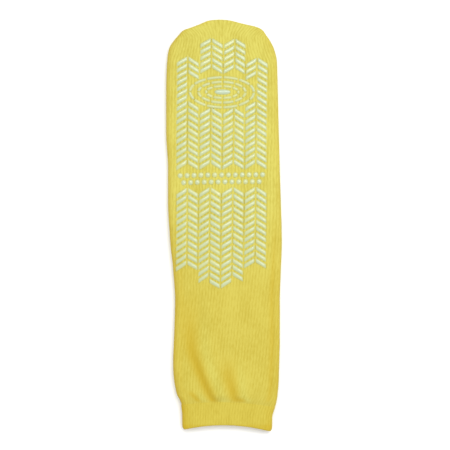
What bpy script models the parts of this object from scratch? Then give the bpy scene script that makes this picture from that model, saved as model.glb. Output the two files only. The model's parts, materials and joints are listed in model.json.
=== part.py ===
"""A knitted tube slipper sock, lying flat on its instep with its printed tread face up.

Lengths are in metres. The sock is drawn with the middle of its mouth at the origin and
its toe towards +Y; an empty then carries it to the middle of its own floor box.
"""

import math
from typing import NamedTuple

import bmesh
import bpy
import numpy as np

# Driving sizes of the knit
TUBE_LENGTH = 0.344
CUFF_HEIGHT = 0.021
FOOT_WIDTH = 0.101
LEG_WIDTH = 0.095
CUFF_WIDTH = 0.081
FLAT_THICKNESS = 0.0108
KNIT_WALL = 0.0018
WELT_WALL = 0.0024
TROUGH_DEPTH = 0.0004
FIT_GAP = 0.0003
PARTING_ALONG = 0.404

# Driving sizes of the toe seam
SEAM_BREADTH = 0.0022
SEAM_HEIGHT = 0.0008
SEAM_ALONG = 0.971

# Driving sizes of the printed tread
PRINT_HEIGHT = 0.0006
PRINT_MARGIN = 0.0045
PRINT_SHIFT = -0.0026
PRINT_COLUMNS = 8
COLUMN_GAP = 0.0018
BAR_BREADTH = 0.0032
BAR_SLOPE = 0.6
RING_BREADTH = 0.0017
DASH_GAP = 0.0016
DOT_RADIUS = 0.0019
WEB_BREADTH = 0.0008
WEB_HEIGHT = 0.0002
TOP_INSET = 0.0002

# How finely the folds are cut, and how many fold points the toe seam takes in
FOLD_STEPS = 6
SEAM_STEPS = 2
DOT_COUNT = 13
SHARP_DEGREES = 40

# Where the face points of a section lie, as shares of its flat run
FACE_SHARES = (0.0, 0.02, 0.045, 0.27, 0.5, 0.73, 0.955, 0.98, 1.0)
TROUGH_SHARES = (0.0, 1.0, 0.0, 0.0, 0.0, 0.0, 0.0, 1.0, 0.0)
FLOOR_SHARES = (1.0, 0.67, 0.33, 0.0)

KNIT_COLOUR = (0.72, 0.62, 0.10, 1.0)
WELT_COLOUR = (0.69, 0.57, 0.085, 1.0)
SEAM_COLOUR = (0.66, 0.54, 0.08, 1.0)
PRINT_COLOUR = (0.76, 0.80, 0.58, 1.0)
KNIT_ROUGHNESS = 0.9
PRINT_ROUGHNESS = 0.45


class Section(NamedTuple):
    """One section of the flat tube.

    along is a share of the stretch's length, left and right are the fold edges as
    shares of the stretch's width, thick and rise are shares of FLAT_THICKNESS, and
    arch and slant are shares of CUFF_HEIGHT by which the edges hang below the middle.
    """

    along: float
    width: float
    left: float
    right: float
    thick: float
    rise: float
    arch: float
    slant: float


CUFF_SECTIONS = (
    Section(0.00, CUFF_WIDTH, -0.456, 0.525, 0.92, 0.0, 0.17, 0.06),
    Section(0.10, CUFF_WIDTH, -0.467, 0.536, 0.94, 0.0, 0.17, 0.06),
    Section(0.56, CUFF_WIDTH, -0.467, 0.539, 0.93, 0.0, 0.17, 0.06),
    Section(0.86, CUFF_WIDTH, -0.475, 0.558, 0.94, 0.0, 0.17, 0.06),
    Section(1.00, CUFF_WIDTH, -0.478, 0.573, 0.96, 0.0, 0.17, 0.06),
)

TUBE_SECTIONS = (
    Section(0.000, CUFF_WIDTH, -0.478, 0.573, 0.96, 0.0, 0.17, 0.06),
    Section(0.009, CUFF_WIDTH, -0.490, 0.584, 1.01, 0.0, 0.14, 0.05),
    Section(0.020, LEG_WIDTH, -0.443, 0.507, 1.06, 0.0, 0.09, 0.03),
    Section(0.036, LEG_WIDTH, -0.460, 0.515, 1.08, 0.0, 0.04, 0.01),
    Section(0.057, LEG_WIDTH, -0.474, 0.521, 1.08, 0.0, 0.0, 0.0),
    Section(0.096, LEG_WIDTH, -0.484, 0.525, 1.05, 0.0, 0.0, 0.0),
    Section(0.175, LEG_WIDTH, -0.474, 0.531, 1.00, 0.0, 0.0, 0.0),
    Section(0.267, LEG_WIDTH, -0.465, 0.531, 1.00, 0.0, 0.0, 0.0),
    Section(0.345, LEG_WIDTH, -0.483, 0.541, 1.04, 0.0, 0.0, 0.0),
    Section(0.424, LEG_WIDTH, -0.512, 0.550, 1.08, 0.0, 0.0, 0.0),
    Section(0.528, FOOT_WIDTH, -0.500, 0.508, 1.05, 0.0, 0.0, 0.0),
    Section(0.607, FOOT_WIDTH, -0.500, 0.500, 1.00, 0.0, 0.0, 0.0),
    Section(0.712, FOOT_WIDTH, -0.517, 0.490, 1.00, 0.0, 0.0, 0.0),
    Section(0.817, FOOT_WIDTH, -0.517, 0.482, 1.02, 0.0, 0.0, 0.0),
    Section(0.895, FOOT_WIDTH, -0.508, 0.473, 0.98, 0.0, 0.0, 0.0),
    Section(0.927, FOOT_WIDTH, -0.490, 0.446, 0.92, 0.03, 0.0, 0.0),
    Section(0.948, FOOT_WIDTH, -0.446, 0.410, 0.84, 0.07, 0.0, 0.0),
    Section(0.963, FOOT_WIDTH, -0.401, 0.375, 0.77, 0.11, 0.0, 0.0),
    Section(0.974, FOOT_WIDTH, -0.366, 0.348, 0.71, 0.15, 0.0, 0.0),
    Section(0.982, FOOT_WIDTH, -0.299, 0.317, 0.67, 0.17, 0.0, 0.0),
    Section(0.990, FOOT_WIDTH, -0.232, 0.223, 0.62, 0.20, 0.0, 0.0),
    Section(0.995, FOOT_WIDTH, -0.196, 0.152, 0.54, 0.25, 0.0, 0.0),
    Section(0.9985, FOOT_WIDTH, -0.160, 0.090, 0.34, 0.35, 0.0, 0.0),
    Section(1.000, FOOT_WIDTH, -0.134, 0.062, 0.12, 0.46, 0.0, 0.0),
)


class Zone(NamedTuple):
    """A field of printed bars: its lowest and highest rows are shares of TUBE_LENGTH."""

    name: str
    low: float
    high: float
    rows: int


class RowSpan(NamedTuple):
    """Rows first to last of a zone print the columns named, counted from 1.

    side ends the names of rows that lie on one side of the ovals.
    """

    zone: str
    first: int
    last: int
    columns: tuple
    side: str


FOREFOOT = Zone("forefoot", 0.622, 0.943, 20)
HEEL = Zone("heel", 0.311, 0.550, 15)

ROW_SPANS = (
    RowSpan("forefoot", 1, 9, (1, 2, 3, 4, 5, 6, 7, 8), ""),
    RowSpan("forefoot", 10, 10, (1, 2), "_left"),
    RowSpan("forefoot", 10, 10, (7, 8), "_right"),
    RowSpan("forefoot", 11, 14, (1,), "_left"),
    RowSpan("forefoot", 11, 14, (8,), "_right"),
    RowSpan("forefoot", 15, 15, (1, 2), "_left"),
    RowSpan("forefoot", 15, 15, (7, 8), "_right"),
    RowSpan("forefoot", 16, 17, (1, 2, 3, 4, 5, 6, 7, 8), ""),
    RowSpan("forefoot", 18, 20, (3, 4, 5, 6), ""),
    RowSpan("heel", 1, 1, (4, 5), ""),
    RowSpan("heel", 2, 3, (3, 4, 5, 6), ""),
    RowSpan("heel", 4, 15, (1, 2, 3, 4, 5, 6, 7, 8), ""),
)


class Oval(NamedTuple):
    """A printed oval ring: its reach in columns and in rows, and its dashes."""

    name: str
    columns: float
    rows: float
    dashes: int


OVAL_ALONG = 0.812
OVALS = (
    Oval("outer", 2.81, 2.39, 12),
    Oval("middle", 2.08, 1.64, 12),
    Oval("inner", 1.43, 0.94, 10),
)
OVAL_HEART = Oval("heart", 0.67, 0.36, 1)
HEART_SHARES = (-1.0, -0.8, -0.4, 0.0, 0.4, 0.8, 1.0)

DOT_ROWS = {"grip_dots_upper": 0.595, "grip_dots_lower": 0.577}


class Pull(NamedTuple):
    """How the cloth has pulled the print at a share of TUBE_LENGTH, under five columns."""

    along: float
    far_left: float
    left: float
    middle: float
    right: float
    far_right: float


PULL_COLUMNS = (1.0, 3.0, 5.0, 6.5, 8.0)

# Sideways to the right, as shares of the column pitch
SWAYS = (
    Pull(0.33, 0.04, -0.04, -0.07, -0.07, -0.08),
    Pull(0.42, 0.06, 0.00, -0.02, -0.04, -0.05),
    Pull(0.51, 0.08, 0.02, 0.01, 0.00, -0.02),
    Pull(0.64, 0.06, 0.08, 0.07, 0.03, -0.01),
    Pull(0.73, 0.06, 0.09, 0.13, 0.05, 0.02),
    Pull(0.81, 0.10, 0.14, 0.13, 0.03, 0.04),
    Pull(0.92, 0.11, 0.15, 0.21, 0.17, 0.13),
)

# Towards the mouth, as shares of the forefoot's row pitch
DRAGS = (
    Pull(0.33, 0.36, 0.12, -0.05, -0.09, -0.09),
    Pull(0.42, 0.29, 0.08, -0.02, -0.05, -0.06),
    Pull(0.51, 0.27, 0.12, 0.04, 0.04, 0.04),
    Pull(0.64, 0.07, 0.00, 0.02, -0.02, -0.06),
    Pull(0.73, 0.04, 0.04, 0.04, 0.02, 0.02),
    Pull(0.81, -0.04, 0.02, 0.04, 0.06, 0.10),
    Pull(0.87, 0.08, 0.19, 0.24, 0.27, 0.27),
    Pull(0.92, 0.05, 0.23, 0.31, 0.31, 0.27),
)


def table(sections, start, length):
    """Return the sections' values as arrays in metres, keyed by name."""
    rows = np.array(sections)
    width = rows[:, 1]
    return {
        "y": start + rows[:, 0] * length,
        "left": rows[:, 2] * width,
        "right": rows[:, 3] * width,
        "thick": rows[:, 4] * FLAT_THICKNESS,
        "rise": rows[:, 5] * FLAT_THICKNESS,
        "arch": rows[:, 6] * CUFF_HEIGHT,
        "slant": rows[:, 7] * CUFF_HEIGHT,
    }


CUFF = table(CUFF_SECTIONS, 0.0, CUFF_HEIGHT)
TUBE = table(TUBE_SECTIONS, CUFF_HEIGHT, TUBE_LENGTH)


def values_at(stretch, y):
    """Read a stretch's values at the distances y above the mouth."""
    return {key: np.interp(y, stretch["y"], column) for key, column in stretch.items()}


def edge_slopes(stretch, y):
    """Return how steeply the left and right outlines draw in at the distances y."""
    left = np.interp(y, stretch["y"], np.gradient(stretch["left"], stretch["y"]))
    right = np.interp(y, stretch["y"], np.gradient(stretch["right"], stretch["y"]))
    return left, right


def face_height(y):
    """Height of the upper face's flat run at the distances y above the mouth."""
    values = values_at(TUBE, y)
    return values["rise"] + values["thick"]


def rings(stretch, y, inset):
    """Closed sections of a stretch at the distances y, drawn in by inset.

    A section is a flat run on each side between two half-round folds. The inset is
    measured square to the outline, so the wall keeps its thickness round the toe.
    """
    y = np.asarray(y, dtype=float)
    values = values_at(stretch, y)
    slope_left, slope_right = edge_slopes(stretch, y)
    radius = values["thick"] / 2 - inset
    middle = values["rise"] + values["thick"] / 2
    low = values["left"] + inset * np.sqrt(1 + slope_left ** 2) + radius
    high = values["right"] - inset * np.sqrt(1 + slope_right ** 2) - radius

    face = np.array(FACE_SHARES)
    dip = np.array(TROUGH_SHARES) * TROUGH_DEPTH
    floor = np.array(FLOOR_SHARES)
    turn = np.arange(1, FOLD_STEPS) * math.pi / FOLD_STEPS
    out = np.sin(turn)
    down = np.cos(turn)
    run = (high - low)[:, None]
    x = np.concatenate([
        low[:, None] + run * face,
        high[:, None] + radius[:, None] * out,
        low[:, None] + run * floor,
        low[:, None] - radius[:, None] * out,
    ], axis=1)
    z = np.concatenate([
        (middle + radius)[:, None] - dip,
        middle[:, None] + radius[:, None] * down,
        (middle - radius)[:, None] + 0 * floor,
        middle[:, None] - radius[:, None] * down,
    ], axis=1)
    half = (values["right"] - values["left"])[:, None] / 2
    across = (x - (values["right"] + values["left"])[:, None] / 2) / half
    drop = values["arch"][:, None] * across ** 2 + values["slant"][:, None] * across
    return np.stack([x, y[:, None] - drop, z], axis=2)


def loft(name, sections, looped, material, parent):
    """Join closed sections into one solid, capped at both ends or looped back."""
    count, around, _ = sections.shape
    mesh = bmesh.new()
    corners = [[mesh.verts.new(point) for point in section] for section in sections]
    pairs = count if looped else count - 1
    for first in range(pairs):
        here = corners[first]
        there = corners[(first + 1) % count]
        for side in range(around):
            other = (side + 1) % around
            mesh.faces.new((here[side], here[other], there[other], there[side]))
    if not looped:
        mesh.faces.new(corners[0])
        mesh.faces.new(corners[-1])
    bmesh.ops.recalc_face_normals(mesh, faces=mesh.faces)
    data = bpy.data.meshes.new(name)
    mesh.to_mesh(data)
    mesh.free()
    data.materials.append(material)
    data.shade_smooth()
    data.set_sharp_from_angle(angle=math.radians(SHARP_DEGREES))
    piece = bpy.data.objects.new(name, data)
    piece.parent = parent
    parent.users_collection[0].objects.link(piece)
    return piece


def make_material(name, colour, roughness):
    """A plain Principled finish."""
    material = bpy.data.materials.new(name)
    material.use_nodes = True
    shader = material.node_tree.nodes["Principled BSDF"]
    shader.inputs["Base Color"].default_value = colour
    shader.inputs["Roughness"].default_value = roughness
    shader.inputs["Metallic"].default_value = 0.0
    return material


def make_leg(material, parent):
    """The leg: the knit wall from the cuff to the parting, open at both ends."""
    ends = (CUFF_HEIGHT + FIT_GAP, along_tube(PARTING_ALONG) - FIT_GAP / 2)
    between = TUBE["y"][(TUBE["y"] > ends[0]) & (TUBE["y"] < ends[1] - FIT_GAP)]
    y = np.array([ends[0], *between, ends[1]])
    outside = rings(TUBE, y, 0.0)
    inside = rings(TUBE, y, KNIT_WALL)[::-1]
    return loft("leg_tube", np.concatenate([outside, inside]), True, material, parent)


def make_foot(material, parent):
    """The foot: the knit wall from the parting to the closed toe.

    The inner wall ends one wall short of the tip, so the sections past it are left out.
    """
    start = along_tube(PARTING_ALONG) + FIT_GAP / 2
    outer_y = np.append(start, TUBE["y"][TUBE["y"] > start + FIT_GAP])
    inner_end = TUBE["y"][-1] - KNIT_WALL
    inner_y = np.append(outer_y[outer_y < inner_end - FIT_GAP], inner_end)
    inside = rings(TUBE, inner_y, KNIT_WALL)[::-1]
    outside = rings(TUBE, outer_y, 0.0)
    return loft("foot_tube", np.concatenate([inside, outside]), False, material, parent)


def make_cuff(material, parent):
    """The turned welt: a double wall cut from the same form, with its own mouth."""
    outside = rings(CUFF, CUFF["y"], 0.0)
    inside = rings(CUFF, CUFF["y"], WELT_WALL)[::-1]
    return loft("cuff_band", np.concatenate([outside, inside]), True, material, parent)


def make_toe_seam(material, parent):
    """The raised closing seam across the instep side of the toe, from fold to fold."""
    y = CUFF_HEIGHT + SEAM_ALONG * TUBE_LENGTH + SEAM_BREADTH * np.array([-0.5, 0.5])
    near = rings(TUBE, y, -FIT_GAP)
    far = rings(TUBE, y, -FIT_GAP - SEAM_HEIGHT)
    first = len(FACE_SHARES) + FOLD_STEPS - 1 - SEAM_STEPS
    stations = np.arange(first, first + SEAM_STEPS + len(FLOOR_SHARES) + SEAM_STEPS)
    sections = np.stack([near[0], near[1], far[1], far[0]], axis=1)[stations]
    return loft("toe_seam", sections, False, material, parent)


def column_pitch():
    """Distance between the print's columns, so that all of them fill the face."""
    print_width = FOOT_WIDTH - FLAT_THICKNESS - 2 * PRINT_MARGIN
    return (print_width + COLUMN_GAP) / PRINT_COLUMNS


def column_centre(column):
    """Middle of a print column, counted from 1 at the left."""
    return PRINT_SHIFT + (column - (PRINT_COLUMNS + 1) / 2) * column_pitch()


def row_pitch(zone):
    """Distance between a zone's rows of bars."""
    return (zone.high - zone.low) * TUBE_LENGTH / (zone.rows - 1)


def along_tube(share):
    """Distance above the mouth of a share of the tube."""
    return CUFF_HEIGHT + share * TUBE_LENGTH


def pulled(plan):
    """Shift points (x, y) of the print as the cloth has pulled them."""
    columns = plan[..., 0] / column_pitch() - PRINT_SHIFT / column_pitch() + (PRINT_COLUMNS + 1) / 2
    shares = (plan[..., 1] - CUFF_HEIGHT) / TUBE_LENGTH
    shifts = []
    for pulls, size in ((SWAYS, column_pitch()), (DRAGS, -row_pitch(FOREFOOT))):
        rows = np.array(pulls)
        at_columns = [np.interp(shares, rows[:, 0], column) for column in rows[:, 1:].T]
        total = np.zeros(columns.shape)
        for number, value in enumerate(at_columns):
            peak = np.arange(len(PULL_COLUMNS)) == number
            total += value * np.interp(columns, PULL_COLUMNS, peak)
        shifts.append(total * size)
    return plan + np.stack(shifts, axis=-1)


def band(name, centres, normals, breadths, heights, looped, material, parent):
    """A printed strip on the tread face, of given breadth and height at each centre."""
    half = normals * np.asarray(breadths)[:, None] / 2
    crown = half * (1 - 2 * TOP_INSET / np.asarray(breadths)[:, None])
    plan = np.stack([centres - half, centres + half, centres + crown, centres - crown], axis=1)
    plan = pulled(plan)
    base = face_height(plan[:, :, 1]) + FIT_GAP
    lift = np.asarray(heights)[:, None] * np.array([0.0, 0.0, 1.0, 1.0])
    sections = np.concatenate([plan, (base + lift)[:, :, None]], axis=2)
    return loft(name, sections, looped, material, parent)


def make_bar_row(name, y, columns, material, parent):
    """One row of slanting bars, peaked over each pair of columns and webbed at its gaps."""
    half = (column_pitch() - COLUMN_GAP) / 2
    centres = []
    breadths = []
    heights = []
    for column in columns:
        x = column_centre(column)
        rise = BAR_SLOPE * half * (1 if column % 2 else -1)
        if centres:
            centres.append((x - half - COLUMN_GAP / 2, (centres[-1][1] + y - rise) / 2))
            breadths.append(WEB_BREADTH)
            heights.append(WEB_HEIGHT)
        centres += [(x - half, y - rise), (x + half, y + rise)]
        breadths += [BAR_BREADTH, BAR_BREADTH]
        heights += [PRINT_HEIGHT, PRINT_HEIGHT]
    centres = np.array(centres)
    normals = np.tile([0.0, 1.0], (len(centres), 1))
    return band(name, centres, normals, breadths, heights, False, material, parent)


def make_bars(material, parent):
    """Every row of bars, forefoot and heel, as the row table lists them."""
    zones = {zone.name: zone for zone in (FOREFOOT, HEEL)}
    for span in ROW_SPANS:
        zone = zones[span.zone]
        for row in range(span.first, span.last + 1):
            name = f"tread_{span.zone}_row_{row:02d}{span.side}"
            y = along_tube(zone.low) + (row - 1) * row_pitch(zone)
            make_bar_row(name, y, span.columns, material, parent)


def make_oval_ring(oval, material, parent):
    """One printed oval of dashes, with a low web across each gap between dashes."""
    reach_x = oval.columns * column_pitch()
    reach_y = oval.rows * row_pitch(FOREFOOT)
    step = 2 * math.pi / oval.dashes
    gap = DASH_GAP / ((reach_x + reach_y) / 2)
    offsets = np.array([0.0, gap / 2, step / 2, step - gap / 2])
    angles = (np.arange(oval.dashes)[:, None] * step + offsets + math.pi / 2).ravel()
    centre = np.array([column_centre((PRINT_COLUMNS + 1) / 2), along_tube(OVAL_ALONG)])
    centres = centre + np.stack([reach_x * np.cos(angles), reach_y * np.sin(angles)], axis=1)
    normals = np.stack([reach_y * np.cos(angles), reach_x * np.sin(angles)], axis=1)
    normals /= np.linalg.norm(normals, axis=1)[:, None]
    breadths = np.tile([WEB_BREADTH, RING_BREADTH, RING_BREADTH, RING_BREADTH], oval.dashes)
    heights = np.tile([WEB_HEIGHT, PRINT_HEIGHT, PRINT_HEIGHT, PRINT_HEIGHT], oval.dashes)
    name = f"tread_oval_{oval.name}"
    return band(name, centres, normals, breadths, heights, True, material, parent)


def make_oval_heart(material, parent):
    """The solid oval in the middle of the rings."""
    shares = np.array(HEART_SHARES)
    reach_x = OVAL_HEART.columns * column_pitch()
    reach_y = OVAL_HEART.rows * row_pitch(FOREFOOT)
    x = column_centre((PRINT_COLUMNS + 1) / 2) + shares * reach_x
    centres = np.stack([x, np.full(len(x), along_tube(OVAL_ALONG))], axis=1)
    normals = np.tile([0.0, 1.0], (len(x), 1))
    breadths = np.maximum(2 * reach_y * np.sqrt(1 - shares ** 2), WEB_BREADTH)
    heights = np.full(len(x), PRINT_HEIGHT)
    return band("tread_oval_heart", centres, normals, breadths, heights, False, material, parent)


def make_dot_row(name, share, count, material, parent):
    """A plain row of round grip dots, joined by a low web."""
    pitch = (column_pitch() * PRINT_COLUMNS - COLUMN_GAP) / DOT_COUNT
    middles = column_centre((PRINT_COLUMNS + 1) / 2) + (np.arange(count) - (count - 1) / 2) * pitch
    offsets = np.array([-1.0, -0.5, 0.5, 1.0]) * DOT_RADIUS
    breadth = np.array([WEB_BREADTH, 2 * DOT_RADIUS, 2 * DOT_RADIUS, WEB_BREADTH])
    height = np.array([WEB_HEIGHT, PRINT_HEIGHT, PRINT_HEIGHT, WEB_HEIGHT])
    x = (middles[:, None] + offsets).ravel()
    centres = np.stack([x, np.full(len(x), along_tube(share))], axis=1)
    normals = np.tile([0.0, 1.0], (len(x), 1))
    breadths = np.tile(breadth, count)
    heights = np.tile(height, count)
    return band(name, centres, normals, breadths, heights, False, material, parent)


def make_frame(collection):
    """An empty that carries the sock so that its floor box is centred on the origin."""
    outline = np.concatenate([rings(CUFF, CUFF["y"], 0.0), rings(TUBE, TUBE["y"], 0.0)])
    points = outline.reshape(-1, 3)
    middle = (points.min(axis=0) + points.max(axis=0)) / 2
    empty = bpy.data.objects.new("sock_frame", None)
    empty.location = (-middle[0], -middle[1], 0.0)
    collection.objects.link(empty)
    return empty


def main():
    """Clear the scene and build the sock."""
    for item in list(bpy.data.objects):
        bpy.data.objects.remove(item)
    collection = bpy.data.collections.new("slipper_sock")
    bpy.context.scene.collection.children.link(collection)
    frame = make_frame(collection)

    knit = make_material("yellow knit", KNIT_COLOUR, KNIT_ROUGHNESS)
    welt = make_material("yellow welt", WELT_COLOUR, KNIT_ROUGHNESS)
    seam = make_material("yellow seam thread", SEAM_COLOUR, KNIT_ROUGHNESS)
    grip = make_material("pale grip print", PRINT_COLOUR, PRINT_ROUGHNESS)

    make_leg(knit, frame)
    make_foot(knit, frame)
    make_cuff(welt, frame)
    make_toe_seam(seam, frame)
    make_bars(grip, frame)
    for oval in OVALS:
        make_oval_ring(oval, grip, frame)
    make_oval_heart(grip, frame)
    for offset, (name, share) in enumerate(DOT_ROWS.items()):
        make_dot_row(name, share, DOT_COUNT - offset, grip, frame)
    bpy.context.view_layer.update()


main()
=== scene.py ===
"""Looks of a yellow knitted tube slipper sock, lying flat with its printed tread face up.

Lengths are in metres. The sock's form is worked out in its own frame, with the middle of
the mouth at the origin and the toe towards +Y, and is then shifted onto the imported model.
"""

from __future__ import annotations

import json
import logging
import math
from collections.abc import Callable
from dataclasses import dataclass, field
from enum import Enum

import bpy
import numpy as np
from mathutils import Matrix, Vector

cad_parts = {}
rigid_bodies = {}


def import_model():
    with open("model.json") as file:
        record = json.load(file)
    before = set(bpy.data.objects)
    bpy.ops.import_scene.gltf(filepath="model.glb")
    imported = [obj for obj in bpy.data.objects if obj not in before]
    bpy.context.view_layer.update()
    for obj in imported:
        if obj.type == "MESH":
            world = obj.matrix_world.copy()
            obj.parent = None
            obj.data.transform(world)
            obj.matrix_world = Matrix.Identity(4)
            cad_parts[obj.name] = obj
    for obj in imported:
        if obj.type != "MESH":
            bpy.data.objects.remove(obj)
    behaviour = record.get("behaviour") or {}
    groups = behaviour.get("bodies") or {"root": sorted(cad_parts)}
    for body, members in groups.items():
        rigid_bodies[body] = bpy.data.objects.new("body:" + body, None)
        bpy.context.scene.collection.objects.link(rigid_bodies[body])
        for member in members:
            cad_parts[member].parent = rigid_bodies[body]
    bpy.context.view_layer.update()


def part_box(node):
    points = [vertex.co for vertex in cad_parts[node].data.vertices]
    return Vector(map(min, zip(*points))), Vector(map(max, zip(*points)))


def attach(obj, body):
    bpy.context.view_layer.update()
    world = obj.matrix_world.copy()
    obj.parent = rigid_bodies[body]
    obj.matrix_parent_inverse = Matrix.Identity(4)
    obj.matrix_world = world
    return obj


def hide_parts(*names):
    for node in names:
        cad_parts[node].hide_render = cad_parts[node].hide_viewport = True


LOG = logging.getLogger("slipper_sock")
TAU = 2 * math.pi

Colour = tuple[float, float, float, float]


def smooth_step(share: np.ndarray) -> np.ndarray:
    """Ease from 0 to 1 as a share goes from 0 to 1.

    Args:
        share: Any numbers; they are held between 0 and 1.

    Returns:
        Three times the square less twice the cube of each share.
    """
    held = np.clip(share, 0.0, 1.0)
    return held * held * (3 - 2 * held)


def smooth_read(at: np.ndarray, places: np.ndarray, values: np.ndarray) -> np.ndarray:
    """Read a smooth curve through a table, without overshoot.

    Each stretch is a cubic whose end slopes are the harmonic mean of the slopes of the
    stretches on either side, or level where those turn.

    Args:
        at: Where to read the curve.
        places: The table's places, rising.
        values: The table's values.

    Returns:
        The curve's values.
    """
    step = np.diff(places)
    slope = np.diff(values) / step
    ahead = slope[1:]
    behind = slope[:-1]
    same = ahead * behind > 0
    near = np.where(same, behind, 1.0)
    far = np.where(same, ahead, 1.0)
    weight_near = 2 * step[1:] + step[:-1]
    weight_far = step[1:] + 2 * step[:-1]
    mean = (weight_near + weight_far) / (weight_near / near + weight_far / far)
    ends = np.concatenate([slope[:1], np.where(same, mean, 0.0), slope[-1:]])
    held = np.clip(at, places[0], places[-1])
    index = np.clip(np.searchsorted(places, held, side="right") - 1, 0, len(step) - 1)
    share = (held - places[index]) / step[index]
    square = share * share
    cube = square * share
    return (
        (2 * cube - 3 * square + 1) * values[index]
        + (cube - 2 * square + share) * step[index] * ends[index]
        + (3 * square - 2 * cube) * values[index + 1]
        + (cube - square) * step[index] * ends[index + 1]
    )


@dataclass(frozen=True)
class Section:
    """One section of the flat tube.

    along is a share of the stretch's length, width the size that left and right, the fold
    edges, are shares of. thick and rise are shares of the lying thickness, and arch and
    slant are shares of the cuff's height by which the edges hang below the middle.
    """

    along: float
    width: float
    left: float
    right: float
    thick: float
    rise: float = 0.0
    arch: float = 0.0
    slant: float = 0.0


@dataclass(frozen=True)
class Crease:
    """A soft pleat of the leg: a steep left flank, a crest and a long right flank.

    path holds points (x, y) of the steep flank from its lower end up. The crease fades out
    from fade_from to its upper end, where its steep flank is wider by the share spread.
    dip is the share of its height by which the foot of the steep flank sinks. Its depth is how
    dark the painted shade is there, in a bell, and lift how light the painted highlight is at the
    crest.
    """

    path: tuple[tuple[float, float], ...]
    height: float
    steep: float
    gentle: float
    fade_from: float
    spread: float = 0.6
    shade_depth: float = 1.0
    lift: float = 0.25
    dip: float = 0.25
    bell: float = 1.6
    bell_shift: float = 0.1
    crest_place: float = 0.3

    def place(self, x: np.ndarray, y: np.ndarray) -> tuple[np.ndarray, np.ndarray, np.ndarray]:
        """Find points against the crease.

        Args:
            x: Distances across the sock.
            y: Distances above the mouth.

        Returns:
            The distance of each point from the path, square to it, how strong the crease
            is there, and how wide its steep flank, which opens out upwards.
        """
        points = np.array(self.path)
        middle = smooth_read(y, points[:, 1], points[:, 0])
        lean = (points[-1, 0] - points[0, 0]) / (points[-1, 1] - points[0, 1])
        top = points[-1, 1]
        strength = 1 - smooth_step((y - self.fade_from) / (top - self.fade_from))
        opened = 1 + self.spread * (y - points[0, 1]) / (top - points[0, 1])
        return (x - middle) / math.sqrt(1 + lean * lean), strength, self.steep * opened

    def relief(self, x: np.ndarray, y: np.ndarray) -> np.ndarray:
        """Height added by the crease.

        Across the path it eases up over the steep flank and down over the gentle one,
        after a slight dip on the steep side.

        Args:
            x: Distances across the sock.
            y: Distances above the mouth.

        Returns:
            The height at each point.
        """
        across, strength, steep = self.place(x, y)
        up = smooth_step(across / steep + 0.5)
        down = 1 - smooth_step((across - steep / 2) / self.gentle)
        dip = self.dip * np.exp(-(((across + steep) / steep) ** 2))
        return self.height * strength * (up * down - dip)

    def shade(self, x: np.ndarray, y: np.ndarray) -> np.ndarray:
        """Painted shade and painted highlight of the crease.

        A bell of painted shade along its steep flank darkens the colour and a fainter painted
        highlight along the crest lightens it.

        Args:
            x: Distances across the sock.
            y: Distances above the mouth.

        Returns:
            A share at each point, less than 0 along the crest.
        """
        across, strength, steep = self.place(x, y)
        flank = np.exp(-((self.bell * (across + self.bell_shift * steep) / steep) ** 2))
        crest = np.exp(-(((across - steep / 2) / self.gentle / self.crest_place - 1) ** 2))
        return strength * (self.shade_depth * flank - self.lift * crest)


@dataclass(frozen=True)
class PaintedShadeDepths:
    """Painted shade on the knit's colour: how much it darkens it, as shares, over which lengths.

    Shade is painted along the leg below leg_from + leg_fade, in the troughs beside the folds,
    on the folds, on the left fold's very edge, along the mouth and beside the cuff's left fold.
    """

    leg: float = 0.32
    leg_from: float = 0.10
    leg_fade: float = 0.12
    left_trough: float = 0.10
    right_trough: float = 0.32
    left_fold: float = 0.40
    left_edge: float = 0.45
    right_fold: float = 0.35
    fold_reach: float = 0.8
    mouth: float = 0.30
    mouth_reach: float = 0.0016
    cuff_left: float = 0.25
    cuff_fade: float = 0.003


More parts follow.
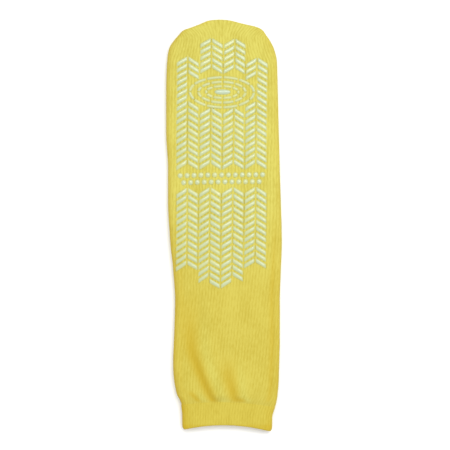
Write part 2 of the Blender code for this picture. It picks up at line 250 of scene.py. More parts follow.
@dataclass
class SockForm:
    """The shape of the sock: a tube pressed flat, with half-round folds."""

    tube_length: float = 0.344
    cuff_height: float = 0.021
    foot_width: float = 0.101
    leg_width: float = 0.095
    cuff_width: float = 0.081
    flat_thickness: float = 0.0108
    knit_wall: float = 0.0018
    welt_wall: float = 0.0024
    left_trough: float = 0.0003
    right_trough: float = 0.0010
    trough_inset: float = 0.0018
    trough_reach: float = 0.0024
    trough_top: float = 0.21
    trough_fade: float = 0.08
    trough_least: float = 0.1
    crown: float = 0.0007
    crown_rise: float = 0.4
    nose_radius: float = 0.0040
    tip_bow: float = 0.0008
    bow_reach: float = 0.010
    wales_around: int = 74
    course: float = 0.0019
    ripple_height: float = 0.00009
    gather_reach: float = 0.008
    edge_overlap: float = 0.001
    rib_swell: float = 0.5
    rib_swell_from: float = 0.91
    rib_swell_reach: float = 0.02
    fan_from: float = 0.88
    ripple_seed: int = 11
    ripple_count: int = 14
    toe_calm: float = 0.012
    cuff_calm: float = 0.3
    # Painted shade on the knit's colour: in the leg, troughs, folds, mouth and beside the cuff
    shade_depths: PaintedShadeDepths = PaintedShadeDepths()
    creases: tuple[Crease, ...] = field(default_factory=tuple)

    def __post_init__(self) -> None:
        """Work out the tables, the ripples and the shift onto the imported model."""
        cuff = self.cuff_sections()
        tube = self.tube_sections()
        rows = np.array([list(vars(row).values()) for row in cuff + tube])
        starts = np.array([0.0] * len(cuff) + [self.cuff_height] * len(tube))
        lengths = np.array([self.cuff_height] * len(cuff) + [self.tube_length] * len(tube))
        self.places = starts + rows[:, 0] * lengths
        self.columns = {
            "left": rows[:, 2] * rows[:, 1],
            "right": rows[:, 3] * rows[:, 1],
            "thick": rows[:, 4] * self.flat_thickness,
            "rise": rows[:, 5] * self.flat_thickness,
            "arch": rows[:, 6] * self.cuff_height,
            "slant": rows[:, 7] * self.cuff_height,
        }
        low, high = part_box("foot_tube")
        self.shift = np.array([low.x - self.columns["left"].min(), high.y - self.length, 0.0])
        self.ripples = self.make_ripples()

    @property
    def length(self) -> float:
        """Length from the middle of the mouth to the tip."""
        return self.cuff_height + self.tube_length

    def cuff_sections(self) -> list[Section]:
        """Sections of the turned cuff, from the mouth up."""
        width = self.cuff_width
        return [
            Section(0.00, width, -0.456, 0.525, 0.92, 0.0, 0.238, 0.041),
            Section(0.10, width, -0.467, 0.536, 0.94, 0.0, 0.17, 0.06),
            Section(0.56, width, -0.467, 0.539, 0.93, 0.0, 0.17, 0.06),
            Section(0.86, width, -0.475, 0.558, 0.94, 0.0, 0.17, 0.06),
        ]

    def tube_sections(self) -> list[Section]:
        """Sections of the leg and foot, from the top of the cuff to the tip."""
        cuff = self.cuff_width
        leg = self.leg_width
        foot = self.foot_width
        return [
            Section(0.000, cuff, -0.478, 0.573, 0.96, 0.0, 0.17, 0.06),
            Section(0.009, cuff, -0.490, 0.584, 1.01, 0.0, 0.14, 0.05),
            Section(0.020, leg, -0.443, 0.507, 1.06, 0.0, 0.09, 0.03),
            Section(0.036, leg, -0.460, 0.515, 1.08, 0.0, 0.04, 0.01),
            Section(0.057, leg, -0.474, 0.521, 1.08),
            Section(0.096, leg, -0.484, 0.525, 1.05),
            Section(0.175, leg, -0.474, 0.531, 1.00),
            Section(0.267, leg, -0.465, 0.531, 1.00),
            Section(0.345, leg, -0.483, 0.541, 1.04),
            Section(0.424, leg, -0.512, 0.550, 1.08),
            Section(0.528, foot, -0.500, 0.508, 1.05),
            Section(0.607, foot, -0.500, 0.500, 1.00),
            Section(0.712, foot, -0.517, 0.490, 1.00),
            Section(0.817, foot, -0.517, 0.482, 1.02),
            Section(0.895, foot, -0.508, 0.473, 0.98),
            Section(0.927, foot, -0.490, 0.446, 0.92, 0.03),
            Section(0.948, foot, -0.446, 0.410, 0.84, 0.07),
            Section(0.963, foot, -0.401, 0.375, 0.77, 0.11),
            Section(0.974, foot, -0.366, 0.348, 0.71, 0.15),
            Section(0.982, foot, -0.289, 0.304, 0.67, 0.17),
            Section(0.990, foot, -0.219, 0.188, 0.64, 0.19),
            Section(0.995, foot, -0.180, 0.122, 0.62, 0.20),
            Section(0.9985, foot, -0.152, 0.078, 0.61, 0.21),
            Section(1.000, foot, -0.132, 0.054, 0.61, 0.21),
        ]

    def make_ripples(self) -> np.ndarray:
        """Draw the long shallow waves of the slack cloth.

        Returns:
            A row for each wave: its share of the height, waves a metre across and along
            the sock, and phase.
        """
        draw = np.random.default_rng(self.ripple_seed)
        count = self.ripple_count
        strength = draw.uniform(0.35, 1.0, count)
        across = draw.uniform(14.0, 52.0, count) * draw.choice([-1.0, 1.0], count)
        along = draw.uniform(1.0, 9.0, count)
        phase = draw.uniform(0.0, TAU, count)
        return np.stack([strength, across, along, phase], axis=1)

    def read(self, y: np.ndarray) -> dict[str, np.ndarray]:
        """Read every column of the form at distances above the mouth.

        Args:
            y: Distances above the mouth.

        Returns:
            The values by name, with radius and middle, the fold's radius and height. Near
            the tip the thickness closes as a half circle of the nose radius.
        """
        y = np.asarray(y, dtype=float)
        values = {key: smooth_read(y, self.places, column) for key, column in self.columns.items()}
        to_tip = np.clip((self.length - y) / self.nose_radius, 0.0, 1.0)
        nose = np.sqrt(1 - (1 - to_tip) ** 2)
        values["middle"] = values["rise"] + values["thick"] / 2
        values["radius"] = values["thick"] / 2 * nose
        return values

    def relief(self, x: np.ndarray, y: np.ndarray) -> np.ndarray:
        """Soft height of the tread face over its flat: fold troughs, ripples and creases.

        Args:
            x: Distances across the sock.
            y: Distances above the mouth.

        Returns:
            The height at each point.
        """
        values = self.read(y)
        left, right = self.troughs(x, y)
        wave = np.zeros(left.shape)
        for strength, across, along, phase in self.ripples:
            wave += strength * np.sin(TAU * (across * x + along * y) + phase)
        centre = (values["left"] + values["right"]) / 2
        share = (x - centre) / (values["right"] - values["left"])
        height = self.ripple_height * wave - self.left_trough * left - self.right_trough * right
        height += self.crown * (self.crown_rise - 4 * share ** 2)
        gathered = smooth_step((y - self.cuff_height + self.edge_overlap) / self.gather_reach)
        for crease in self.creases:
            height = height + gathered * crease.relief(x, y)
        ends = smooth_step((self.length - y) / self.toe_calm)
        ends = ends * smooth_step(y / self.cuff_height - self.cuff_calm)
        return height * ends

    def troughs(self, x: np.ndarray, y: np.ndarray) -> tuple[np.ndarray, np.ndarray]:
        """Bells of the hollows beside the left and right folds, 1 in the leg's middle.

        Args:
            x: Distances across the sock.
            y: Distances above the mouth.

        Returns:
            The left and right bells.
        """
        values = self.read(y)
        fold = self.flat_thickness / 2 + self.trough_inset
        leg = smooth_step((self.trough_top - y) / self.trough_fade)
        leg = self.trough_least + (1 - self.trough_least) * leg
        left = leg * np.exp(-(((x - values["left"] - fold) / self.trough_reach) ** 2))
        right = leg * np.exp(-(((values["right"] - x - fold) / self.trough_reach) ** 2))
        return left, right

    def shade(self, x: np.ndarray, y: np.ndarray) -> np.ndarray:
        """Painted shade on the knit's colour: in creases, on and beside folds, in the leg and along
        the mouth, less a painted highlight along each crease's crest.

        Args:
            x: Distances across the sock.
            y: Distances above the mouth.

        Returns:
            The share of painted shade, from 0 to 1, at each point.
        """
        shade_depths = self.shade_depths
        values = self.read(y)
        left, right = self.troughs(x, y)
        reach = shade_depths.fold_reach * self.flat_thickness
        left_fold = 1 - np.clip((x - values["left"]) / reach, 0.0, 1.0)
        right_fold = 1 - np.clip((values["right"] - x) / reach, 0.0, 1.0)
        above = smooth_step((y - self.cuff_height + self.edge_overlap) / shade_depths.cuff_fade)
        painted_shade = shade_depths.leg * (1 - smooth_step((y - shade_depths.leg_from) / shade_depths.leg_fade))
        painted_shade = painted_shade + above * (shade_depths.right_trough * right + shade_depths.left_trough * left)
        painted_shade += shade_depths.right_fold * right_fold ** 2
        painted_shade += shade_depths.left_fold * left_fold ** 2 + shade_depths.left_edge * left_fold ** 6
        painted_shade += shade_depths.mouth * (1 - smooth_step(y / shade_depths.mouth_reach))
        painted_shade += shade_depths.cuff_left * (1 - above) * left_fold
        for crease in self.creases:
            painted_shade = painted_shade + above * crease.shade(x, y)
        return np.clip(painted_shade, 0.0, 1.0)

    def face(self, x: np.ndarray, y: np.ndarray) -> np.ndarray:
        """Height of the tread face at points across and along the sock.

        Args:
            x: Distances across the sock.
            y: Distances above the mouth.

        Returns:
            The flat's height, dropped round the folds, with the relief on it.
        """
        values = self.read(y)
        radius = values["radius"]
        edge = np.clip(np.minimum(x - values["left"], values["right"] - x), 0.0, radius)
        bow = np.sqrt(np.maximum(radius ** 2 - (radius - edge) ** 2, 0.0))
        fade = smooth_step(edge / np.maximum(radius, 1e-6))
        return values["middle"] + bow + fade * self.relief(x, y)

    def half_girth(self, y: np.ndarray) -> np.ndarray:
        """Length round one face of the section, from fold to fold."""
        values = self.read(y)
        run = values["right"] - values["left"] - 2 * values["radius"]
        return run + math.pi * values["radius"]

    def wale_girth(self, y: np.ndarray) -> np.ndarray:
        """The girth that the wales are spread over.

        It draws in a little over the toe and opens out like a fan over the tip.
        """
        places = np.array([0.0, self.fan_from, 0.955, 1.0]) * self.length
        fan = smooth_read(y, places, np.array([1.0, 1.0, 0.85, 1.42]))
        return self.half_girth(np.minimum(y, self.fan_from * self.length)) * fan

    def twist(self, y: np.ndarray) -> np.ndarray:
        """How many wales the knit is turned round the sock at distances above the mouth.

        The middle wale leans over to the left down the leg, and the tip's is left of the
        middle too. Its places are shares of the length and of the leg's width.
        """
        places = np.array([0.0, 0.055, 0.15, 0.25, 0.33, 0.42, 0.55, 0.85, 0.95, 1.0])
        line = np.array([-0.19, -0.18, -0.15, -0.11, -0.075, -0.055, -0.04, -0.02, -0.03, -0.03])
        values = self.read(y)
        centre = (values["left"] + values["right"]) / 2
        middle = smooth_read(y, places * self.length, line * self.leg_width)
        return (centre - middle) / self.wale_girth(y) * self.wales_around / 2

    def wales(self, y: np.ndarray, steps: int) -> np.ndarray:
        """Wale number at each column of the tread face, counted from its middle wale.

        Args:
            y: Distances above the mouth, one for each row.
            steps: Number of steps across the face.

        Returns:
            An array of rows by steps + 1.
        """
        share = np.linspace(-0.5, 0.5, steps + 1)
        girth = self.half_girth(y) / self.wale_girth(y)
        return girth[:, None] * share * self.wales_around / 2 + self.twist(y)[:, None]

    def steepness(self, side: str, y: np.ndarray) -> np.ndarray:
        """Length of one side's outline for each unit along the sock, at most about 3."""
        reach = 1e-5
        ahead = smooth_read(y + reach, self.places, self.columns[side])
        behind = smooth_read(y - reach, self.places, self.columns[side])
        return np.sqrt(1 + np.minimum(((ahead - behind) / (2 * reach)) ** 2, 9.0))

    def walk_face(
        self, low: np.ndarray, run: np.ndarray, radius: np.ndarray, share: np.ndarray
    ) -> tuple[np.ndarray, np.ndarray, np.ndarray, np.ndarray]:
        """Walk over one face of a section: a quarter circle, a flat run, a quarter circle.

        Args:
            low: Its left edge.
            run: The length of its flat.
            radius: The radius of its folds.
            share: Shares of the walk from fold to fold.

        Returns:
            Distance across, height over the folds' middle, and how far out of the cloth
            points across and up.
        """
        walk = (run + math.pi * radius) * share
        quarter = math.pi / 2 * radius
        safe = np.maximum(radius, 1e-9)
        left_turn = np.clip(walk / safe, 0.0, math.pi / 2)
        right_turn = np.clip((walk - quarter - run) / safe, 0.0, math.pi / 2)
        flat = np.clip(walk - quarter, 0.0, run)
        x = low + radius * (1 - np.cos(left_turn)) + flat + radius * np.sin(right_turn)
        rise = radius * np.sin(left_turn) - radius * (1 - np.cos(right_turn))
        out_x = np.sin(right_turn) - np.cos(left_turn)
        return x, rise, out_x, np.sin(left_turn) * np.cos(right_turn)

    def surface(self, y: np.ndarray, inset: np.ndarray, steps: int, rib: float) -> np.ndarray:
        """Points of the tube on a grid of rows along it and columns round it.

        Each half of a section, tread face then floor face, is stepped evenly along its
        length. The wales are raised as a cosine across the face, inwards from the form.
        Rows hang by a parabola across the cuff and bow outwards by one near the tip.

        Args:
            y: Distance above the mouth of each row.
            inset: How far each row is drawn in, square to the surface.
            steps: Number of steps across each half.
            rib: Depth of the grooves between wales.

        Returns:
            An array of rows by 2 * steps columns by 3.
        """
        values = self.read(y)
        radius = np.maximum(values["radius"] - inset, 0.0)[:, None]
        low = (values["left"] + inset * self.steepness("left", y))[:, None]
        high = (values["right"] - inset * self.steepness("right", y))[:, None]
        run = np.maximum(high - low - 2 * radius, 0.0)
        share = np.linspace(0.0, 1.0, steps + 1)
        x, rise, out_x, out_z = self.walk_face(low, run, radius, share)
        wale = self.wales(y, steps)
        swell = smooth_step((y - self.rib_swell_from * self.length) / self.rib_swell_reach)
        rib_here = rib * (1 + self.rib_swell * swell)[:, None]
        groove = -rib_here * (0.5 - 0.5 * np.cos(TAU * wale))
        back = -rib_here * (0.5 - 0.5 * np.cos(TAU * (wale - 2 * self.twist(y)[:, None])))
        fade = smooth_step(out_z)
        lift = self.relief(x, np.broadcast_to(y[:, None], x.shape)) * fade
        middle = values["middle"][:, None]
        top = np.stack([x + out_x * groove, middle + rise + out_z * groove + lift], axis=2)
        under = np.stack([x + out_x * back, middle - rise - out_z * back], axis=2)
        round_it = np.concatenate([top, under[:, -2:0:-1]], axis=1)
        half = (values["right"] - values["left"])[:, None] / 2
        centre = (values["right"] + values["left"])[:, None] / 2
        across = (round_it[:, :, 0] - centre) / half
        drop = values["arch"][:, None] * across ** 2 + values["slant"][:, None] * across
        bow = self.tip_bow * smooth_step(1 + (y - self.length) / self.bow_reach)
        along = y[:, None] - drop + bow[:, None] * (1 - across ** 2)
        return np.stack([round_it[:, :, 0], along, round_it[:, :, 1]], axis=2) + self.shift


def neighbours(grid: np.ndarray, looped: bool) -> tuple[np.ndarray, np.ndarray]:
    """Each row of a grid and the row after it, and so round to the first if looped."""
    return (grid, np.roll(grid, -1, axis=0)) if looped else (grid[:-1], grid[1:])


def quads(here: np.ndarray, there: np.ndarray) -> np.ndarray:
    """Join grids of vertex numbers by quads, closed round their last axis.

    Args:
        here: Vertex numbers of the lower rows.
        there: Vertex numbers of the rows above them.

    Returns:
        An array of faces by 4 vertex numbers.
    """
    corners = [here, np.roll(here, -1, axis=-1), np.roll(there, -1, axis=-1), there]
    return np.stack(corners, axis=-1).reshape(-1, 4)


@dataclass
class TubeMesh:
    """Turns a grid of points round a tube into a mesh with a map of wales and courses."""

    form: SockForm
    steps: int

    def faces(self, rows: int, looped: bool, closed_rows: tuple[int, ...]) -> np.ndarray:
        """Corners of the quads between rows.

        A closed row is one whose two halves meet, so its floor columns share the
        vertices of the tread columns opposite.

        Args:
            rows: Number of rows.
            looped: Whether the last row joins the first.
            closed_rows: The rows that close the tube.

        Returns:
            An array of faces by 4 vertex numbers.
        """
        around = 2 * self.steps
        index = np.arange(rows * around).reshape(rows, around)
        for row in closed_rows:
            index[row, self.steps + 1:] = index[row, self.steps - 1:0:-1]
        return quads(*neighbours(index, looped))

    def map(self, y: np.ndarray, looped: bool) -> np.ndarray:
        """Wale and course number at each corner of each face, in the faces' order.

        Args:
            y: Distance above the mouth of each row.
            looped: Whether the last row joins the first.

        Returns:
            An array of faces by 4 by 2.
        """
        wale = self.form.wales(y, self.steps)
        course = np.broadcast_to((y / self.form.course)[:, None], wale.shape)
        face = np.stack([wale, course], axis=2)
        back = self.form.wales_around / 2 + 2 * self.form.twist(y)[:, None] - wale[:, ::-1]
        under = np.stack([back, course], axis=2)
        parts = []
        for half in (face, under):
            here, there = neighbours(half, looped)
            parts.append(np.stack([here[:, :-1], here[:, 1:], there[:, 1:], there[:, :-1]], axis=2))
        return np.concatenate(parts, axis=1).reshape(-1, 4, 2)


def build_mesh(
    name: str,
    points: np.ndarray,
    faces: list[np.ndarray],
    corner_map: np.ndarray | None = None,
    share: np.ndarray | None = None,
) -> bpy.types.Object:
    """Make a smooth mesh object whose faces point out.

    Args:
        name: The piece's name.
        points: Vertices, any shape that ends in 3.
        faces: Arrays of faces of one size each.
        corner_map: A map of the first array of faces, by 4 by 2, or None.
        share: A share at each vertex that the finish mixes its colours by: painted shade on
            the knit, the print's cover on the pads, or None.

    Returns:
        The new object, linked to the scene.
    """
    flat = points.reshape(-1, 3)
    first, second, third, fourth = (flat[faces[0][:, corner]] for corner in (0, 1, 2, -1))
    centre = flat.mean(axis=0)
    cross = np.cross(third - first, fourth - second)
    inward = np.einsum("ij,ij->i", first - centre, cross).sum() < 0
    if inward:
        faces = [block[:, ::-1] for block in faces]
        corner_map = None if corner_map is None else corner_map[:, ::-1]
    used = np.zeros(len(flat), dtype=bool)
    for block in faces:
        used[block.ravel()] = True
    renumber = np.cumsum(used) - 1
    listed = [face for block in faces for face in renumber[block].tolist()]
    data = bpy.data.meshes.new(name)
    data.from_pydata(flat[used].tolist(), [], listed)
    if corner_map is not None:
        layer = data.uv_layers.new(name="wales")
        layer.data.foreach_set("uv", corner_map.reshape(-1).astype(np.float32))
    if share is not None:
        attribute = data.attributes.new("share", "FLOAT", "POINT")
        attribute.data.foreach_set("value", share.reshape(-1)[used].astype(np.float32))
    data.shade_smooth()
    data.update()
    piece = bpy.data.objects.new(name, data)
    bpy.context.scene.collection.objects.link(piece)
    return piece


class Operation(Enum):
    """Arithmetic that the finishes use."""

    ADD = "ADD"
    SUBTRACT = "SUBTRACT"
    MULTIPLY = "MULTIPLY"
    FRACTION = "FRACT"
    SIZE = "ABSOLUTE"
    POWER = "POWER"


@dataclass(frozen=True)
class Grain:
    """Noise of a finish: grains a metre, octaves, scale along each axis and its weight."""

    scale: float
    detail: float
    stretch: tuple[float, float, float] = (1.0, 1.0, 1.0)
    weight: float = 1.0


@dataclass
class ShaderGraph:
    """A material's node tree, with short calls for the nodes that the finishes share."""

    name: str

    def __post_init__(self) -> None:
        """Make the material and find its shader."""
        self.material = bpy.data.materials.new(self.name)
        self.material.use_nodes = True
        self.tree = self.material.node_tree
        self.shader = self.tree.nodes["Principled BSDF"]

    def node(self, kind: str, **settings: object) -> bpy.types.Node:
        """Add a node of a kind and set its properties."""
        made = self.tree.nodes.new(kind)
        for key, value in settings.items():
            setattr(made, key, value)
        return made

    def join(self, source: object, target: object) -> None:
        """Link a socket to a socket, or set the target to a number or a colour."""
        if isinstance(source, (int, float, tuple)):
            target.default_value = source
        else:
            self.tree.links.new(source, target)

    def paint(self, colour: object) -> None:
        """Join a colour to the shader's base colour."""
        self.join(colour, self.shader.inputs["Base Color"])

    def math(self, operation: Operation, first: object, second: object = 0.0) -> object:
        """Add a math node and return its result.

        Args:
            operation: What it does.
            first: A socket or number.
            second: A socket or number.

        Returns:
            The node's output socket.
        """
        made = self.node("ShaderNodeMath", operation=operation.value)
        self.join(first, made.inputs[0])
        self.join(second, made.inputs[1])
        return made.outputs[0]

    def noise(self, grain: Grain, source: object = None) -> object:
        """Add noise on the object's own coordinates or on a source.

        Args:
            grain: The noise, whose grains are counted by the metre or a unit of the source.
            source: A socket of coordinates, or None.

        Returns:
            The noise's factor, about 0.5 on average.
        """
        place = source or self.node("ShaderNodeTexCoord").outputs["Object"]
        mapping = self.node("ShaderNodeMapping")
        noise = self.node("ShaderNodeTexNoise")
        self.join(place, mapping.inputs["Vector"])
        self.join(grain.stretch, mapping.inputs["Scale"])
        self.join(mapping.outputs["Vector"], noise.inputs["Vector"])
        self.join(grain.scale, noise.inputs["Scale"])
        self.join(grain.detail, noise.inputs["Detail"])
        return noise.outputs["Fac"]

    def blend(self, factor: object, low: object, high: object) -> object:
        """Mix two colours, plain or sockets, by a factor and return the result."""
        made = self.node("ShaderNodeMix", data_type="RGBA")
        self.join(factor, made.inputs[0])
        self.join(low, made.inputs[6])
        self.join(high, made.inputs[7])
        return made.outputs[2]

    def bump(self, height: object, distance: float, strength: float) -> None:
        """Raise the shader's surface by a height of at most the distance."""
        made = self.node("ShaderNodeBump")
        self.join(distance, made.inputs["Distance"])
        self.join(strength, made.inputs["Strength"])
        self.join(height, made.inputs["Height"])
        self.join(made.outputs["Normal"], self.shader.inputs["Normal"])

    def set(self, values: dict[str, float]) -> None:
        """Set the shader's own sockets by name."""
        for key, value in values.items():
            self.join(value, self.shader.inputs[key])


@dataclass(frozen=True)
class KnitFinish:
    """Plain knit seen from its face: columns of nested V stitches, soft and matt."""

    name: str
    yarn: Colour
    # A darker colour, mixed in partly as painted shade between the wales, partly as random tone
    groove: Colour
    # The colour of painted shade, mixed in by the share attribute
    painted_shade: Colour
    stitch_lean: float = 1.1
    stitch_height: float = 0.00026
    stitch_relief: float = 0.55
    loop_share: float = 0.45
    aside_weight: float = 1.2
    stitch_weight: float = 0.12
    fuzz: Grain = Grain(2600.0, 3.0, weight=0.35)
    stroke: Grain = Grain(2.3, 2.0, (1.0, 0.17, 1.0), 2.0)
    cloud: Grain = Grain(80.0, 2.0, (1.0, 0.5, 1.0), 1.3)
    patch: Grain = Grain(14.0, 3.0, weight=0.6)
    tone_offset: float = 1.71
    painted_shade_weight: float = 0.8
    roughness: float = 0.86

    def make(self) -> bpy.types.Material:
        """Build the material.

        The map's first number counts wales and its second courses. The distance from a
        wale's middle leans each course into a V, and the yarn is round across its arm.
        The tone is the weighted sum of the distance from the grooves, of the stitches, of strokes
        along the wales and of softer clouds and patches. It mixes the yarn towards the darker
        groove colour, partly as painted shade in the grooves between wales and on the stitches' low
        parts, partly as random tone. The share attribute then mixes in the colour of painted shade.

        Returns:
            The knit material.
        """
        graph = ShaderGraph(self.name)
        coordinates = graph.node("ShaderNodeUVMap", uv_map="wales")
        split = graph.node("ShaderNodeSeparateXYZ")
        graph.join(coordinates.outputs["UV"], split.inputs[0])
        within = graph.math(Operation.FRACTION, split.outputs[0])
        offset = graph.math(Operation.SUBTRACT, within, 0.5)
        aside = graph.math(Operation.SIZE, offset)
        lean = graph.math(Operation.MULTIPLY, aside, self.stitch_lean)
        course = graph.math(Operation.ADD, split.outputs[1], lean)
        loop = graph.math(Operation.FRACTION, course)
        loop_round = self.arch(graph, loop, 2.0)
        arm_round = self.arch(graph, aside, 4.0)
        shaped = graph.math(Operation.MULTIPLY, loop_round, self.loop_share)
        shaped = graph.math(Operation.ADD, shaped, 1 - self.loop_share)
        stitch = graph.math(Operation.MULTIPLY, shaped, arm_round)
        fuzz = graph.math(Operation.MULTIPLY, graph.noise(self.fuzz), self.fuzz.weight)
        height = graph.math(Operation.ADD, stitch, fuzz)
        graph.bump(height, self.stitch_height, self.stitch_relief)
        stroke = graph.noise(self.stroke, coordinates.outputs["UV"])
        tone = graph.math(Operation.MULTIPLY, aside, self.aside_weight)
        for source, weight in (
            (stitch, self.stitch_weight),
            (stroke, self.stroke.weight),
            (graph.noise(self.cloud), self.cloud.weight),
            (graph.noise(self.patch), self.patch.weight),
        ):
            part = graph.math(Operation.MULTIPLY, source, weight)
            tone = graph.math(Operation.ADD, tone, part)
        tone = graph.math(Operation.SUBTRACT, tone, self.tone_offset)
        # Painted shade from the share attribute, mixed over the knit's colour
        sunk = graph.node("ShaderNodeAttribute", attribute_name="share")
        shade_depth = graph.math(Operation.MULTIPLY, sunk.outputs["Fac"], self.painted_shade_weight)
        graph.paint(graph.blend(shade_depth, graph.blend(tone, self.groove, self.yarn), self.painted_shade))
        graph.set({
            "Roughness": self.roughness,
            "Specular IOR Level": 0.2,
            "Sheen Weight": 0.05,
            "Sheen Roughness": 0.5,
        })
        return graph.material

    @staticmethod
    def arch(graph: ShaderGraph, source: object, turns: float) -> object:
        """One less the square of turns times the source less one: a round yarn's height."""
        scaled = graph.math(Operation.MULTIPLY, source, turns)
        centred = graph.math(Operation.SUBTRACT, scaled, 1.0)
        square = graph.math(Operation.POWER, graph.math(Operation.SIZE, centred), 2.0)
        return graph.math(Operation.SUBTRACT, 1.0, square)


@dataclass(frozen=True)
class PrintFinish:
    """Soft grip print: pale and milky where thick, letting the yellow through at its edges."""

    name: str
    thin: Colour
    thick: Colour
    mottle: Grain = Grain(700.0, 3.0, weight=0.35)
    relief: float = 0.00012
    relief_strength: float = 0.5
    roughness: float = 0.42

    def make(self) -> bpy.types.Material:
        """Build the material from the print's cover and a fine mottle.

        Returns:
            The print material.
        """
        graph = ShaderGraph(self.name)
        cover = graph.node("ShaderNodeAttribute", attribute_name="share")
        mottle = graph.noise(self.mottle)
        mottle_part = graph.math(Operation.MULTIPLY, mottle, self.mottle.weight)
        amount = graph.math(Operation.ADD, cover.outputs["Fac"], mottle_part)
        amount = graph.math(Operation.SUBTRACT, amount, self.mottle.weight / 2)
        graph.paint(graph.blend(amount, self.thin, self.thick))
        graph.bump(mottle, self.relief, self.relief_strength)
        graph.set({"Roughness": self.roughness, "Coat Weight": 0.8, "Coat Roughness": 0.16})
        return graph.material


@dataclass(frozen=True)
class GrainFinish:
    """Two colours mixed by noise: twisted thread, or a pale floor, which has no relief."""

    name: str
    low: Colour
    high: Colour
    grain: Grain
    settings: dict[str, float]
    relief: float = 0.0
    relief_strength: float = 0.6

    def make(self) -> bpy.types.Material:
        """Build the material.

        Returns:
            The thread's or the floor's material.
        """
        graph = ShaderGraph(self.name)
        mottle = graph.noise(self.grain)
        graph.paint(graph.blend(mottle, self.low, self.high))
        if self.relief:
            graph.bump(mottle, self.relief, self.relief_strength)
        graph.set(self.settings)
        return graph.material


def settle(
    piece: bpy.types.Object, finish: bpy.types.Material, nodes: list[str]
) -> None:
    """Finish a piece and ride it on the sock's one body, in place of its nodes.

    Args:
        piece: The piece.
        finish: Its material.
        nodes: The CAD nodes that it stands for.
    """
    piece.data.materials.append(finish)
    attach(piece, "root")
    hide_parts(*nodes)
    LOG.info("%s: %d faces for %d nodes", piece.name, len(piece.data.polygons), len(nodes))


@dataclass
class KnitBody:
    """Foot and leg: the hollow knit tube from under the cuff's edge to the closed toe."""

    form: SockForm
    steps: int = 144
    rows: int = 240
    nose_rows: int = 14
    inner_rows: int = 36
    rib_depth: float = 0.00011
    tuck: float = 0.0016
    tuck_depth: float = 0.00035
    swell: float = 0.0035
    # Shares of the painted shade on the floor face and, evenly, inside the tube
    floor_shade_share: float = 0.3
    inner_shade_share: float = 0.2

    def outer_rows(self) -> np.ndarray:
        """Rows of the outer face, even along the tube and closer round the nose."""
        start = self.form.cuff_height - self.tuck
        nose = self.form.nose_radius
        even = np.linspace(start, self.form.length - nose, self.rows)
        turn = np.linspace(0.0, math.pi / 2, self.nose_rows + 1)[1:]
        return np.concatenate([even, self.form.length - nose * (1 - np.sin(turn))])

    def outer_inset(self, y: np.ndarray) -> np.ndarray:
        """How far the outer face is drawn in, which tucks it under the cuff's edge."""
        return self.tuck_depth * (1 - smooth_step((y - self.form.cuff_height) / self.swell))

    def inner_places(self) -> np.ndarray:
        """Rows of the inner face, from the mouth of the tube to one wall from the tip."""
        start = self.form.cuff_height - self.tuck
        return np.linspace(start, self.form.length - self.form.knit_wall, self.inner_rows)

    def share(self, inner_count: int, outside: np.ndarray) -> np.ndarray:
        """Painted shade at each vertex: less on the floor face and evenly inside the tube.

        Args:
            inner_count: Number of rows of the inner face.
            outside: Points of the outer face.

        Returns:
            An array of all rows by the columns round them.
        """
        local = outside - self.form.shift
        painted_shade = self.form.shade(local[:, :, 0], local[:, :, 1])
        painted_shade[:, self.steps + 1:] *= self.floor_shade_share
        return np.concatenate([np.full((inner_count, painted_shade.shape[1]), self.inner_shade_share), painted_shade])

    def make(self, finish: bpy.types.Material) -> None:
        """Build the tube as one closed wall.

        Rows run from the inside of the toe to the mouth and back along the outside to the
        tip, and both ends close where the faces meet.

        Args:
            finish: The knit material.
        """
        inner = self.inner_places()[::-1]
        outer = self.outer_rows()
        inside = self.form.surface(inner, np.full(len(inner), self.form.knit_wall), self.steps, 0.0)
        inset = self.outer_inset(outer)
        outside = self.form.surface(outer, inset, self.steps, self.rib_depth)
        y = np.concatenate([inner, outer])
        points = np.concatenate([inside, outside])
        points[0, self.steps + 1:, 2] = points[0, self.steps - 1:0:-1, 2]
        mesh = TubeMesh(self.form, self.steps)
        faces = mesh.faces(len(y), False, (0, len(y) - 1))
        # Painted shade at each vertex
        share = self.share(len(inner), outside)
        piece = build_mesh("knit_body", points, [faces], mesh.map(y, False), share)
        settle(piece, finish, ["leg_tube", "foot_tube"])


@dataclass
class TurnedCuff:
    """The welt: knit turned over into a double wall with a round mouth."""

    form: SockForm
    steps: int = 144
    side_rows: int = 26
    lip_rows: int = 9
    rib_depth: float = 0.00022
    top_radius: float = 0.0007

    def profile(self) -> tuple[np.ndarray, np.ndarray]:
        """The wall's outline, up its height and in through its thickness.

        Returns:
            Distance above the mouth and inset of each row: up the outside, over the small
            rounding at the top, down the inside and round the half circle of the lip.
        """
        wall = self.form.welt_wall
        lip = wall / 2
        top = self.form.cuff_height
        small = self.top_radius
        quarter = np.linspace(0.0, math.pi / 2, 4)
        lip_turn = np.linspace(0.0, math.pi, self.lip_rows + 2)[1:-1]
        outside = np.linspace(lip, top - small, self.side_rows)
        inside = outside[::-1]
        places = np.concatenate([
            outside,
            top - small + small * np.sin(quarter[1:]),
            top - small + small * np.cos(quarter[:-1]),
            inside,
            lip - lip * np.sin(lip_turn),
        ])
        insets = np.concatenate([
            np.zeros(len(outside)),
            small * (1 - np.cos(quarter[1:])),
            wall - small * (1 - np.sin(quarter[:-1])),
            np.full(len(inside), wall),
            lip + lip * np.cos(lip_turn),
        ])
        return places, insets

    def make(self, finish: bpy.types.Material) -> None:
        """Build the cuff.

        Args:
            finish: The welt material.
        """
        places, insets = self.profile()
        points = self.form.surface(places, insets, self.steps, self.rib_depth)
        mesh = TubeMesh(self.form, self.steps)
        faces = mesh.faces(len(places), True, ())
        local = points - self.form.shift
        # Painted shade on the cuff, from the form
        share = self.form.shade(local[:, :, 0], local[:, :, 1])
        piece = build_mesh("turned_cuff", points, [faces], mesh.map(places, True), share)
        settle(piece, finish, ["cuff_band"])


